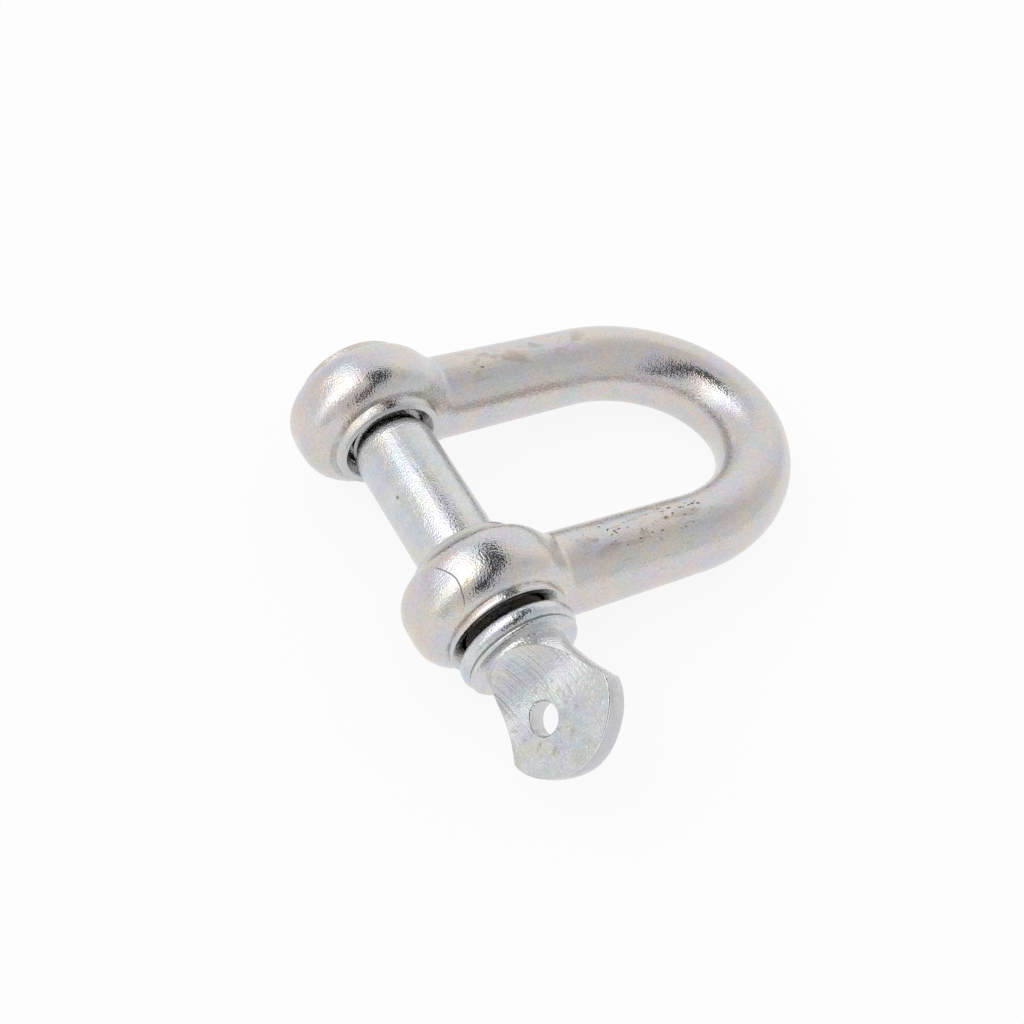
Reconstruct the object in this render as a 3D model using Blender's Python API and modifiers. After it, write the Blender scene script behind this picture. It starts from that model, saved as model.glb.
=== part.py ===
"""Screw-pin dee shackle of nominal 16 mm: a forged dee with two ball eyes, and its screw pin.

The pin's axis runs along Y through both eyes, with its head at -Y, and the crown points to +X.
The shackle lies on its side as it comes to rest on a bench: both eyes and the crown's underside
touch z = 0, so the dee leans down towards its crown. The origin is under the middle of its box.
"""

import math

import bmesh
import bpy
from mathutils import Vector

MM = 0.001

# The dee: its opening and its bar
INSIDE_WIDTH = 30.6 * MM
INSIDE_LENGTH = 59.0 * MM
LEG_LENGTH = 46.3 * MM
CROWN_WIDTH = 15.1 * MM
CROWN_HEIGHT = 16.6 * MM
LEG_WIDTH = 16.3 * MM
LEG_HEIGHT = 17.8 * MM

# The ball eyes, forged on the ends of the bar and faced on both sides
EYE_THICKNESS = 16.6 * MM
EYE_RADIUS = 14.9 * MM
EYE_REACH = 16.0 * MM
EYE_SHOULDER = 3.2
OUTER_FACE_RADIUS = 11.6 * MM
INNER_FACE_RADIUS = 9.8 * MM
BOSS_ROOT_RADIUS = 11.1 * MM
BOSS_PROUD = 0.4 * MM
FACE_STEP = 1.3 * MM
FACE_EDGE = 0.4 * MM
BALL_SINK = 0.25 * MM
FORGED_FILLET = 3.2 * MM
BAR_TIP_START = 8.0 * MM
BAR_TIP_LENGTH = 12.0 * MM

# The bores and the pin that fits them
PIN_DIAMETER = 16.1 * MM
BORE_CLEARANCE = 0.45 * MM
THREAD_DIAMETER = 15.6 * MM
THREAD_CLEARANCE = 0.3 * MM
COUNTERSINK_DIAMETER = 18.6 * MM
PLAIN_MOUTH_DIAMETER = 20.8 * MM
SHANK_STOP = 2.7 * MM
SHOULDER_LENGTH = 2.1 * MM
SHOULDER_DROP = 0.8 * MM
RELIEF_DIAMETER = 13.8 * MM
RELIEF_LENGTH = 1.2 * MM
PIN_END_SHORT = 0.5 * MM
PIN_END_CHAMFER = 1.2 * MM

# The collar and its neck
COLLAR_GAP = 1.7 * MM
COLLAR_DIAMETER = 22.8 * MM
BEAD_THICKNESS = 3.4 * MM
BEAD_EDGE = 1.5 * MM
LIP_DIAMETER = 21.4 * MM
LIP_THICKNESS = 0.9 * MM
LIP_EDGE = 0.45 * MM
NECK_DIAMETER = 15.8 * MM
NECK_LENGTH = 0.7 * MM

# The spade head
HEAD_WIDTH = 24.6 * MM
HEAD_WAIST = 4.0 * MM
HEAD_THICKNESS = 5.0 * MM
FLARE_LENGTH = 13.4 * MM
FLARE_POWER = 1.55
TIP_LENGTH = 9.5 * MM
TIP_POWER = 1.72
SCOOP_RADIUS = 11.5 * MM
MOUSING_HOLE = 6.0 * MM
HOLE_BEFORE_TIP = 11.8 * MM
HOLE_OFFSET = 2.3 * MM
HEAD_TURN = math.radians(59.6)

# How finely the curved surfaces are cut into facets
BAR_SIDES = 36
CROWN_STATIONS = 13
LEG_STATIONS = 5
EYE_STATIONS = 22
TURNED_STEPS = 48
ARC_POINTS = 5
MERGE = 0.00001

# What the sizes above add up to, with the pin's axis on x = 0 and the dee's middle on y = 0
PIN_RADIUS = PIN_DIAMETER / 2
EYE_HALF = EYE_THICKNESS / 2
INNER_HALF = EYE_HALF + BOSS_PROUD
EYE_CENTRE = INSIDE_WIDTH / 2 + INNER_HALF
OUTER_FACE = EYE_CENTRE + EYE_HALF
CROWN_CENTRE = PIN_RADIUS + INSIDE_LENGTH + CROWN_WIDTH / 2
CROWN_REACH = CROWN_CENTRE - LEG_LENGTH
BORE_RADIUS = PIN_RADIUS + BORE_CLEARANCE
THREAD_RADIUS = THREAD_DIAMETER / 2
TAPPED_RADIUS = THREAD_RADIUS + THREAD_CLEARANCE
SHANK_END = INSIDE_WIDTH / 2 - SHANK_STOP
COLLAR_FACE = -OUTER_FACE - COLLAR_GAP
BEAD_END = COLLAR_FACE - BEAD_THICKNESS
LIP_END = BEAD_END - LIP_THICKNESS
FLARE_START = LIP_END - NECK_LENGTH
EARS = FLARE_START - FLARE_LENGTH
HEAD_TIP = EARS - TIP_LENGTH
LEAN = math.asin((EYE_RADIUS - CROWN_HEIGHT / 2) / CROWN_CENTRE)


def clear_scene():
    for old in list(bpy.data.objects):
        bpy.data.objects.remove(old, do_unlink=True)


def collection(name):
    made = bpy.data.collections.new(name)
    bpy.context.scene.collection.children.link(made)
    return made


def plated_steel(name, color, roughness):
    material = bpy.data.materials.new(name)
    material.use_nodes = True
    shader = material.node_tree.nodes["Principled BSDF"]
    shader.inputs["Base Color"].default_value = (*color, 1.0)
    shader.inputs["Metallic"].default_value = 1.0
    shader.inputs["Roughness"].default_value = roughness
    return material


def mesh_object(name, mesh, group, carrier, material=None):
    made = bpy.data.objects.new(name, mesh)
    group.objects.link(made)
    made.parent = carrier
    if material:
        mesh.materials.append(material)
    return made


def arc(radius_at, along_at, radius, start, end, points=ARC_POINTS):
    """Points (radius, along) on an arc of a turned profile, with its angles in degrees from +radius."""
    steps = [math.radians(start + (end - start) * i / (points - 1)) for i in range(points)]
    return [(radius_at + radius * math.cos(a), along_at + radius * math.sin(a)) for a in steps]


def turned(name, profile, group, carrier, material=None, along=0.0):
    """A solid turned about Y from (radius, along) points that run from its +Y end to its -Y end."""
    form = bmesh.new()
    points = [form.verts.new((radius, height, 0.0)) for radius, height in profile]
    for first, second in zip(points, points[1:]):
        form.edges.new((first, second))
    mesh = bpy.data.meshes.new(name)
    form.to_mesh(mesh)
    form.free()
    made = mesh_object(name, mesh, group, carrier, material)
    made.location.y = along
    screw = made.modifiers.new("Turn", "SCREW")
    screw.axis = "Y"
    screw.steps = TURNED_STEPS
    screw.render_steps = TURNED_STEPS
    screw.use_merge_vertices = True
    screw.merge_threshold = MERGE
    screw.use_smooth_shade = True
    return made


def prism(name, outline, half_width, group, carrier):
    """A straight cutter: an outline of (along Y, outwards Z) points, drawn out along X both ways."""
    form = bmesh.new()
    corners = [form.verts.new((-half_width, along, out)) for along, out in outline]
    face = form.faces.new(corners)
    pulled = bmesh.ops.extrude_face_region(form, geom=[face])
    moved = [item for item in pulled["geom"] if isinstance(item, bmesh.types.BMVert)]
    bmesh.ops.translate(form, verts=moved, vec=(2 * half_width, 0.0, 0.0))
    bmesh.ops.recalc_face_normals(form, faces=form.faces)
    mesh = bpy.data.meshes.new(name)
    form.to_mesh(mesh)
    form.free()
    return mesh_object(name, mesh, group, carrier)


def boolean(target, tool, operation):
    tool.hide_render = True
    tool.display_type = "WIRE"
    step = target.modifiers.new(tool.name, "BOOLEAN")
    step.operation = operation
    step.object = tool
    step.solver = "EXACT"


def bar_reach(angle, half_width, half_height):
    """How far the oval bar reaches from its middle, in a direction from outward (0) to up (90)."""
    across = math.cos(angle) / half_width
    up = math.sin(angle) / half_height
    return 1 / math.hypot(across, up)


def ball_reach(x, angle):
    """How far the ball eye reaches from the leg's line at x, found by halving the interval."""
    along = EYE_RADIUS if x > 0 else EYE_REACH
    across = EYE_HALF - BALL_SINK
    if abs(x) >= along:
        return 0.0
    low, high = 0.0, EYE_REACH
    for _ in range(30):
        middle = (low + high) / 2
        round_way = math.hypot(x / along, middle * math.sin(angle) / EYE_RADIUS)
        flat_way = abs(middle * math.cos(angle)) / across
        inside = round_way ** EYE_SHOULDER + flat_way ** EYE_SHOULDER < 1
        low, high = (middle, high) if inside else (low, middle)
    return low


def forged(one, other):
    """The larger of two reaches, with the fillet that forging leaves where they are alike."""
    near = max(FORGED_FILLET - abs(one - other), 0.0) / FORGED_FILLET
    return max(one, other) + FORGED_FILLET * near * near / 4


def leg_section(x, angle):
    """The reach of leg and eye together at x, from the crown's start to the end of the eye."""
    share = min(max(x / LEG_LENGTH, 0.0), 1.0)
    half_width = (LEG_WIDTH + (CROWN_WIDTH - LEG_WIDTH) * share) / 2
    half_height = (LEG_HEIGHT + (CROWN_HEIGHT - LEG_HEIGHT) * share) / 2
    past = max(BAR_TIP_START - x, 0.0) / BAR_TIP_LENGTH
    tip = math.sqrt(max(1 - past * past, 0.0))
    return forged(bar_reach(angle, half_width, half_height) * tip, ball_reach(x, angle))


def ring(form, centre, outward, reach):
    """One section of the loft: a ring of vertices about its centre."""
    corners = []
    for side in range(BAR_SIDES):
        angle = 2 * math.pi * side / BAR_SIDES
        length = reach(angle)
        offset = outward * (length * math.cos(angle)) + Vector((0, 0, length * math.sin(angle)))
        corners.append(form.verts.new(centre + offset))
    return corners


def half_dee():
    """Half of the forging as a loft: crown, leg and ball eye, open where the other half meets it."""
    form = bmesh.new()
    rings = []
    for station in range(CROWN_STATIONS):
        turn = math.pi / 2 * station / CROWN_STATIONS
        centre = Vector((LEG_LENGTH + CROWN_REACH * math.cos(turn), EYE_CENTRE * math.sin(turn), 0))
        outward = Vector((EYE_CENTRE * math.cos(turn), CROWN_REACH * math.sin(turn), 0)).normalized()
        rings.append(ring(form, centre, outward, lambda a: bar_reach(a, CROWN_WIDTH / 2, CROWN_HEIGHT / 2)))
    leg_end = EYE_RADIUS + FORGED_FILLET
    for station in range(LEG_STATIONS):
        x = LEG_LENGTH + (leg_end - LEG_LENGTH) * station / LEG_STATIONS
        rings.append(ring(form, Vector((x, EYE_CENTRE, 0)), Vector((0, 1, 0)), lambda a: leg_section(x, a)))
    for station in range(EYE_STATIONS):
        turn = math.pi * station / EYE_STATIONS
        x = math.cos(turn) * (EYE_RADIUS if turn < math.pi / 2 else EYE_REACH)
        rings.append(ring(form, Vector((x, EYE_CENTRE, 0)), Vector((0, 1, 0)), lambda a: leg_section(x, a)))
    for first, second in zip(rings, rings[1:]):
        for side in range(BAR_SIDES):
            after = (side + 1) % BAR_SIDES
            form.faces.new((first[side], first[after], second[after], second[side]))
    tip = form.verts.new((-EYE_REACH, EYE_CENTRE, 0))
    for side in range(BAR_SIDES):
        form.faces.new((rings[-1][side], rings[-1][(side + 1) % BAR_SIDES], tip))
    bmesh.ops.recalc_face_normals(form, faces=form.faces)
    mesh = bpy.data.meshes.new("dee_body")
    form.to_mesh(mesh)
    form.free()
    return mesh


def eye_faces(name, group, carrier, along):
    """The faces of one eye: a flat ring on its outer side, and a coned boss on its inner side."""
    outline = [
        (0, EYE_HALF),
        (OUTER_FACE_RADIUS - FACE_EDGE, EYE_HALF),
        (OUTER_FACE_RADIUS, EYE_HALF - FACE_EDGE),
        (OUTER_FACE_RADIUS, 0),
        (BOSS_ROOT_RADIUS, FACE_STEP - EYE_HALF),
        (INNER_FACE_RADIUS, -INNER_HALF),
        (0, -INNER_HALF),
    ]
    return turned(name, outline, group, carrier, along=along)


def bore(name, radius, outer_mouth, group, carrier, along):
    """A cutter for a bore through one eye, with a 45 degree countersink on both of its faces."""
    out = outer_mouth / 2 - radius
    back = COUNTERSINK_DIAMETER / 2 - radius
    outline = [
        (0, EYE_HALF + out),
        (radius + 2 * out, EYE_HALF + out),
        (radius, EYE_HALF - out),
        (radius, back - INNER_HALF),
        (radius + 2 * back, -INNER_HALF - back),
        (0, -INNER_HALF - back),
    ]
    return turned(name, outline, group, carrier, along=along)


def make_dee(parts, cutters, carrier):
    """The forged dee, with its eyes faced and bored."""
    zinc = plated_steel("forged_zinc", (0.62, 0.60, 0.59), 0.42)
    body = mesh_object("dee_body", half_dee(), parts, carrier, zinc)
    mirror = body.modifiers.new("Other half", "MIRROR")
    mirror.use_axis = (False, True, False)
    mirror.merge_threshold = MERGE
    head_pad = eye_faces("plain_eye_faces", cutters, carrier, -EYE_CENTRE)
    head_pad.rotation_euler.x = math.pi
    far_pad = eye_faces("tapped_eye_faces", cutters, carrier, EYE_CENTRE)
    boolean(body, head_pad, "UNION")
    boolean(body, far_pad, "UNION")
    plain = bore("plain_bore", BORE_RADIUS, PLAIN_MOUTH_DIAMETER, cutters, carrier, -EYE_CENTRE)
    plain.rotation_euler.x = math.pi
    tapped = bore("tapped_bore", TAPPED_RADIUS, COUNTERSINK_DIAMETER, cutters, carrier, EYE_CENTRE)
    boolean(body, plain, "DIFFERENCE")
    boolean(body, tapped, "DIFFERENCE")
    return body


def pin_end():
    """The threaded end, turned to the thread's crests, its relief groove and the shank's shoulder."""
    end = OUTER_FACE - PIN_END_SHORT
    relief_start = SHANK_END + SHOULDER_LENGTH
    relief_end = relief_start + RELIEF_LENGTH
    relief = RELIEF_DIAMETER / 2
    run_out = THREAD_RADIUS - relief
    shoulder = []
    for step in range(ARC_POINTS):
        turn = math.pi / 2 * (1 - step / (ARC_POINTS - 1))
        drop = SHOULDER_DROP * (1 - math.cos(turn))
        shoulder.append((PIN_RADIUS - drop, SHANK_END + SHOULDER_LENGTH * math.sin(turn)))
    return [
        (0, end),
        (THREAD_RADIUS - PIN_END_CHAMFER, end),
        (THREAD_RADIUS, end - PIN_END_CHAMFER),
        (THREAD_RADIUS, relief_end + run_out),
        (relief, relief_end),
        (relief, relief_start),
        *shoulder,
    ]


def collar():
    """The collar: a rounded bead towards the eye, a shallow groove and a smaller lip behind it."""
    bead = COLLAR_DIAMETER / 2 - BEAD_EDGE
    lip = LIP_DIAMETER / 2 - LIP_EDGE
    return [
        (PIN_RADIUS, COLLAR_FACE),
        *arc(bead, COLLAR_FACE - BEAD_EDGE, BEAD_EDGE, 90, 0),
        *arc(bead, BEAD_END + BEAD_EDGE, BEAD_EDGE, 0, -70),
        *arc(lip, LIP_END + LIP_EDGE, LIP_EDGE, 30, -90),
    ]


def head_outline():
    """The neck, the flare out to the ears and the round tip, all as turned before flattening."""
    neck = NECK_DIAMETER / 2
    ear = HEAD_WIDTH / 2
    points = [(neck, LIP_END)]
    steps = 10
    for step in range(steps + 1):
        share = step / steps
        points.append((neck + (ear - neck) * share ** FLARE_POWER, FLARE_START - FLARE_LENGTH * share))
    for step in range(1, steps):
        turn = math.pi / 2 * step / steps
        out = math.cos(turn) ** (2 / TIP_POWER)
        down = math.sin(turn) ** (2 / TIP_POWER)
        points.append((ear * out, EARS - TIP_LENGTH * down))
    points.append((0, HEAD_TIP))
    return points


def scoop(name, group, carrier, turn):
    """The cutter that flattens one face of the head: a concave ramp from the neck, then a flat."""
    waist = HEAD_WAIST / 2
    sweep = math.acos(1 - (NECK_DIAMETER / 2 - waist) / SCOOP_RADIUS)
    flat_start = FLARE_START - SCOOP_RADIUS * math.sin(sweep)
    ramp = []
    steps = 9
    for step in range(steps + 1):
        angle = sweep * step / steps
        out = waist + SCOOP_RADIUS * (1 - math.cos(angle))
        ramp.append((flat_start + SCOOP_RADIUS * math.sin(angle), out))
    beyond = HEAD_TIP - HEAD_THICKNESS
    draft = (HEAD_THICKNESS / 2 - waist) / (flat_start - HEAD_TIP)
    flat_end = waist + draft * (flat_start - beyond)
    far_out = HEAD_WIDTH
    outline = [(beyond, flat_end), *ramp, (FLARE_START, far_out), (beyond, far_out)]
    tool = prism(name, outline, HEAD_WIDTH, group, carrier)
    tool.rotation_euler.y = turn
    return tool


def mousing_drill(group, carrier):
    """The cutter for the hole that takes the mousing wire, drilled a little off the head's middle."""
    bpy.ops.mesh.primitive_cylinder_add(
        vertices=TURNED_STEPS // 2, radius=MOUSING_HOLE / 2, depth=2 * HEAD_THICKNESS
    )
    drill = bpy.context.object
    drill.name = "mousing_hole"
    for owner in list(drill.users_collection):
        owner.objects.unlink(drill)
    group.objects.link(drill)
    drill.parent = carrier
    drill.location = (-HOLE_OFFSET, HEAD_TIP + HOLE_BEFORE_TIP, 0)
    return drill


def make_pin(parts, cutters, carrier):
    """The screw pin, one piece from threaded end to head, turned first and then flattened."""
    zinc = plated_steel("turned_zinc", (0.64, 0.65, 0.66), 0.32)
    pin = turned("screw_pin", pin_end() + collar() + head_outline(), parts, carrier, zinc)
    head_axes = bpy.data.objects.new("head_axes", None)
    cutters.objects.link(head_axes)
    head_axes.parent = carrier
    head_axes.rotation_euler.y = -HEAD_TURN
    boolean(pin, scoop("front_scoop", cutters, head_axes, 0), "DIFFERENCE")
    boolean(pin, scoop("back_scoop", cutters, head_axes, math.pi), "DIFFERENCE")
    boolean(pin, mousing_drill(cutters, head_axes), "DIFFERENCE")
    return pin


def lay_down(carrier, pieces):
    """Leans the shackle onto its crown and puts the middle of its underside on the origin."""
    carrier.rotation_euler.y = LEAN
    bpy.context.view_layer.update()
    depsgraph = bpy.context.evaluated_depsgraph_get()
    corners = []
    for piece in pieces:
        solid = piece.evaluated_get(depsgraph)
        corners += [piece.matrix_world @ vertex.co for vertex in solid.data.vertices]
    low = [min(corner[axis] for corner in corners) for axis in range(3)]
    high = [max(corner[axis] for corner in corners) for axis in range(3)]
    carrier.location = (-(low[0] + high[0]) / 2, -(low[1] + high[1]) / 2, -low[2])
    bpy.context.view_layer.update()


def main():
    clear_scene()
    parts = collection("dee_shackle")
    cutters = collection("cutters")
    carrier = bpy.data.objects.new("pin_axis", None)
    parts.objects.link(carrier)
    body = make_dee(parts, cutters, carrier)
    pin = make_pin(parts, cutters, carrier)
    lay_down(carrier, [body, pin])


main()
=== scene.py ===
# %% [markdown]
# # A screw-pin dee shackle in zinc-plated steel
# A dee shackle joins the ends of two chains. Its dee is one forging: a round bar bent to a bow,
# with a ball forged on each end and a hole through each ball. A screw pin closes it: it slides
# through the first eye and screws into the second, and a flat spade at its end takes the fingers
# or a spanner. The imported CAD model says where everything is, so it is loaded first, as a frame
# that never changes. What this file adds is what a photograph shows and the plain solids lack:
# smooth forged forms, soft edges, the thread, and the grain, tints and wear of the plating.

# %% Load the frame
import math

import bmesh
import bpy
from mathutils import Matrix, Vector


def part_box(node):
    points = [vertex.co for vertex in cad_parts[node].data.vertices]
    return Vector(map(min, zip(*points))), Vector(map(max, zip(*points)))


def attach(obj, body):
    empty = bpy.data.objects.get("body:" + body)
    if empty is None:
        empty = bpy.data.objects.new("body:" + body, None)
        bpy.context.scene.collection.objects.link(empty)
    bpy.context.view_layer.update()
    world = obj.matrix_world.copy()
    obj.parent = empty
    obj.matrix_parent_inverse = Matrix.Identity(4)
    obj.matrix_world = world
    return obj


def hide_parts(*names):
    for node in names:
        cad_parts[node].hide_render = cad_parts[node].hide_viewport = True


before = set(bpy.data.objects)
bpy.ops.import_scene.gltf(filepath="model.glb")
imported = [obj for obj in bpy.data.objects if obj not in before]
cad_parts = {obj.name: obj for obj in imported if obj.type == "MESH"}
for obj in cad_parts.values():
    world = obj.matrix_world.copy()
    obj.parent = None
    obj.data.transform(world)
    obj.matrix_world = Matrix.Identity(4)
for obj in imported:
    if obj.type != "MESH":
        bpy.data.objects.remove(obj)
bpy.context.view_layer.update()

# %% [markdown]
# ## The camera
# The photograph was taken from above and in front of the pin's head, about 0.3 m away. The place,
# the turn and the lens come from laying the CAD outline over the photograph's, so that a ray
# through any point of the picture meets the same point of the shackle.

# %% Set up the camera
CAMERA_AT = (-0.13903, -0.13845, 0.23762)
CAMERA_TURN = (39.35, -8.728, -29.178)
CAMERA_LENS = 54.19

lens = bpy.data.cameras.new("photo_view")
lens.lens = CAMERA_LENS
lens.sensor_width = 36.0
lens.clip_start = 0.01
camera = bpy.data.objects.new("photo_view", lens)
camera.location = CAMERA_AT
camera.rotation_euler = [math.radians(turn) for turn in CAMERA_TURN]
bpy.context.scene.collection.objects.link(camera)
bpy.context.scene.camera = camera
print("camera", CAMERA_LENS, "mm, at", CAMERA_AT)

# %% [markdown]
# ## Helpers for node trees
# The tent, the paper and the plating are node trees. Each helper adds one node, with its settings
# and links, and returns its result, so that a pattern reads like the sum that it is.


# %% Helpers for node trees
def add_node(tree, kind, inputs=(), **settings):
    """A new node with its settings, and its inputs linked from sockets or set to values."""
    made = tree.nodes.new(kind)
    for name, value in settings.items():
        setattr(made, name, value)
    for name, value in dict(inputs).items():
        if isinstance(value, bpy.types.NodeSocket):
            tree.links.new(value, made.inputs[name])
        else:
            made.inputs[name].default_value = value
    return made


def calculate(tree, operation, *values, clamp=False):
    """The result of one Math node."""
    inputs = dict(enumerate(values))
    return add_node(tree, "ShaderNodeMath", inputs, operation=operation, use_clamp=clamp).outputs[0]


def fade(tree, value, start, end, low=0.0, high=1.0):
    """A smooth step from low to high, as value goes from start to end."""
    inputs = {"Value": value, "From Min": start, "From Max": end, "To Min": low, "To Max": high}
    step = add_node(tree, "ShaderNodeMapRange", inputs, interpolation_type="SMOOTHSTEP")
    return step.outputs["Result"]


def blend_colors(tree, factor, first, second, mode="MIX"):
    """The result of one colour Mix node."""
    inputs = {0: factor, 6: first, 7: second}
    return add_node(tree, "ShaderNodeMix", inputs, data_type="RGBA", blend_type=mode).outputs[2]


# %% [markdown]
# ## The studio
# Bright plated metal shows what is around it, so the room matters as much as the metal. It is a
# pale light tent. A long window of light stands behind it at the left and gives each ball its
# bright patch. Lamps could do this too, but a few soft patches in the world's own colour are
# smoother and quicker, so each ray's direction is compared with the middle of every patch. What
# is seen directly, or through glass, is plain white. The metal mirrors the tent itself.


# %% Make the light tent
def direction(azimuth, elevation):
    """The unit vector towards a point of the tent; azimuth 0 is -Y and 90 is +X, in degrees."""
    around, up = math.radians(azimuth), math.radians(elevation)
    return Vector((math.sin(around) * math.cos(up), -math.cos(around) * math.cos(up), math.sin(up)))


TENT_LIGHT = 0.89
# Each patch: its middle, how far from it the patch ends and is full, in degrees, and its light
TENT_PATCHES = {
    "right_wall": ((58.0, 30.0), 71.0, 40.0, 0.8),
    "back_wall": ((136.0, 14.0), 47.0, 14.0, 1.01),
    "ceiling": ((98.0, 76.0), 35.0, 17.0, 0.73),
    "right_shade": ((66.0, 44.0), 19.0, 12.0, 0.66),
    "front_wall": ((-5.0, 44.0), 51.0, 25.0, 0.71),
    "window_back": ((-150.0, 54.0), 20.0, 8.0, 1.45),
    "window_middle": ((-122.0, 55.0), 25.0, 14.0, 1.85),
    "window_front": ((-104.0, 40.0), 24.0, 13.0, 1.68),
    "window_low": ((-92.0, 18.0), 17.0, 8.0, 1.32),
    "low_shade": ((-56.0, 3.0), 14.0, 8.0, 0.64),
}

world = bpy.data.worlds.new("light_tent")
world.use_nodes = True
tent = world.node_tree
ray = add_node(tent, "ShaderNodeTexCoord").outputs["Generated"]
light = TENT_LIGHT
for name, (centre, outer, inner, level) in TENT_PATCHES.items():
    inputs = {0: ray, 1: direction(*centre)}
    toward = add_node(tent, "ShaderNodeVectorMath", inputs, operation="DOT_PRODUCT").outputs["Value"]
    ends, full = math.cos(math.radians(outer)), math.cos(math.radians(inner))
    inputs = {0: fade(tent, toward, ends, full), 2: light, 3: level}
    light = add_node(tent, "ShaderNodeMix", inputs, data_type="FLOAT", label=name).outputs[0]
kind = add_node(tent, "ShaderNodeLightPath").outputs
seen = calculate(tent, "MAXIMUM", kind["Is Camera Ray"], kind["Is Transmission Ray"])
light = fade(tent, seen, 0.0, 1.0, light, 1.0)
tent.links.new(light, tent.nodes["Background"].inputs["Strength"])
tent.nodes["Background"].inputs["Color"].default_value = (1.0, 1.0, 1.0, 1.0)
world.cycles.sampling_method = "NONE"
bpy.context.scene.world = world
bpy.context.scene.view_settings.view_transform = "Standard"
print("tent patches:", list(TENT_PATCHES))

# %% [markdown]
# ## The floor
# The shackle lies on plain white paper, lit from below as well, as on a product table. A large
# flat sheet is enough. Its colour is mixed with a white glow for the rays that look at it, which
# keeps the background white and the shadow where the forging touches it faint. The glow lights
# nothing, because diffuse rays don't see it.

# %% Lay the floor
FLOOR_REACH = 3.0
FLOOR_DROP = 0.00002
PAPER_WHITE = (0.93, 0.93, 0.93, 1.0)
PAPER_ROUGHNESS = 0.9
PAPER_GLOW = 0.88


def as_object(form, name):
    """Turns a bmesh into an object of the scene."""
    mesh = bpy.data.meshes.new(name)
    form.to_mesh(mesh)
    form.free()
    made = bpy.data.objects.new(name, mesh)
    bpy.context.scene.collection.objects.link(made)
    return made


form = bmesh.new()
bmesh.ops.create_grid(form, x_segments=1, y_segments=1, size=FLOOR_REACH)
bmesh.ops.translate(form, verts=form.verts, vec=(0.0, 0.0, -FLOOR_DROP))
floor = as_object(form, "paper_floor")
paper = bpy.data.materials.new("white_paper")
paper.use_nodes = True
sheet = paper.node_tree
matt = sheet.nodes["Principled BSDF"]
matt.inputs["Base Color"].default_value = PAPER_WHITE
matt.inputs["Roughness"].default_value = PAPER_ROUGHNESS
matt.inputs["Specular IOR Level"].default_value = 0.0
kind = add_node(sheet, "ShaderNodeLightPath").outputs
looking = calculate(sheet, "MAXIMUM", kind["Is Camera Ray"], kind["Is Glossy Ray"])
looking = calculate(sheet, "MAXIMUM", looking, kind["Is Transmission Ray"])
glow = add_node(sheet, "ShaderNodeEmission", {"Strength": 1.0}).outputs[0]
share = calculate(sheet, "MULTIPLY", looking, PAPER_GLOW)
both = add_node(sheet, "ShaderNodeMixShader", {0: share, 1: matt.outputs[0], 2: glow})
sheet.links.new(both.outputs[0], sheet.nodes["Material Output"].inputs["Surface"])
floor.data.materials.append(paper)
print("floor", 2 * FLOOR_REACH, "m wide")

# %% [markdown]
# ## The boom over the table
# The speckled dark patch beside each bright one is the mirror image of something dark close above
# the shackle: the arm that holds the camera. It is so close that the balls and the crown see it in
# different directions, which the tent's far walls can't give, so it is a strip of its own. Only
# glossy rays meet it, and of those only the first mirror image. It darkens no light, and no camera
# sees it.

# %% Hang the boom
BOOM_HEIGHT = 0.155
# Each row of the strip: the x and y of its middle, and its width
BOOM_PATH = [
    (-0.005, 0.085, 0.040),
    (0.001, 0.055, 0.054),
    (0.001, 0.020, 0.056),
    (-0.006, -0.010, 0.048),
    (-0.020, -0.045, 0.052),
    (-0.060, -0.105, 0.068),
    (-0.078, -0.190, 0.086),
    (-0.072, -0.300, 0.072),
    (-0.072, -0.400, 0.070),
]
BOOM_DARK = 0.06
# A ray that the metal has mirrored once has depth 1, and any later one has 2 or more
FIRST_IMAGE = 1.5

form = bmesh.new()
bmesh.ops.create_grid(form, x_segments=1, y_segments=len(BOOM_PATH) - 1, size=1.0)
rows = sorted(form.verts, key=lambda corner: (-corner.co.y, corner.co.x))
for corner, (x, y, wide) in zip(rows, [point for point in BOOM_PATH for _ in range(2)]):
    corner.co = (x + corner.co.x * wide / 2, y, BOOM_HEIGHT)
boom = as_object(form, "camera_boom")
boom_paint = bpy.data.materials.new("boom_grey")
boom_paint.use_nodes = True
boom_tree = boom_paint.node_tree
dim = add_node(boom_tree, "ShaderNodeEmission", {"Strength": BOOM_DARK}).outputs[0]
clear = add_node(boom_tree, "ShaderNodeBsdfTransparent").outputs[0]
depth = add_node(boom_tree, "ShaderNodeLightPath").outputs["Ray Depth"]
later = calculate(boom_tree, "GREATER_THAN", depth, FIRST_IMAGE)
dim = add_node(boom_tree, "ShaderNodeMixShader", {0: later, 1: dim, 2: clear}).outputs[0]
boom_tree.links.new(dim, boom_tree.nodes["Material Output"].inputs["Surface"])
boom.data.materials.append(boom_paint)
boom.visible_camera = False
boom.visible_diffuse = False
boom.visible_shadow = False
boom.visible_transmission = False
print("boom", BOOM_HEIGHT, "m up")

# %% [markdown]
# ## The measures that the pieces share
# The pieces are made as the CAD model is: around the pin's axis, with the dee level. Afterwards
# each finished mesh is leaned onto its crown and moved to where the frame has it. The lengths
# are the CAD model's own.

# %% State the shared measures
MM = 0.001
EYE_CENTRE = 24.0 * MM
EYE_HALF = 8.3 * MM
OUTER_FACE = EYE_CENTRE + EYE_HALF
EYE_RADIUS = 14.9 * MM
CROWN_CENTRE = 74.6 * MM
CROWN_HEIGHT = 16.6 * MM
HEAD_TIP = -61.9 * MM
LEAN = math.asin((EYE_RADIUS - CROWN_HEIGHT / 2) / CROWN_CENTRE)

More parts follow.
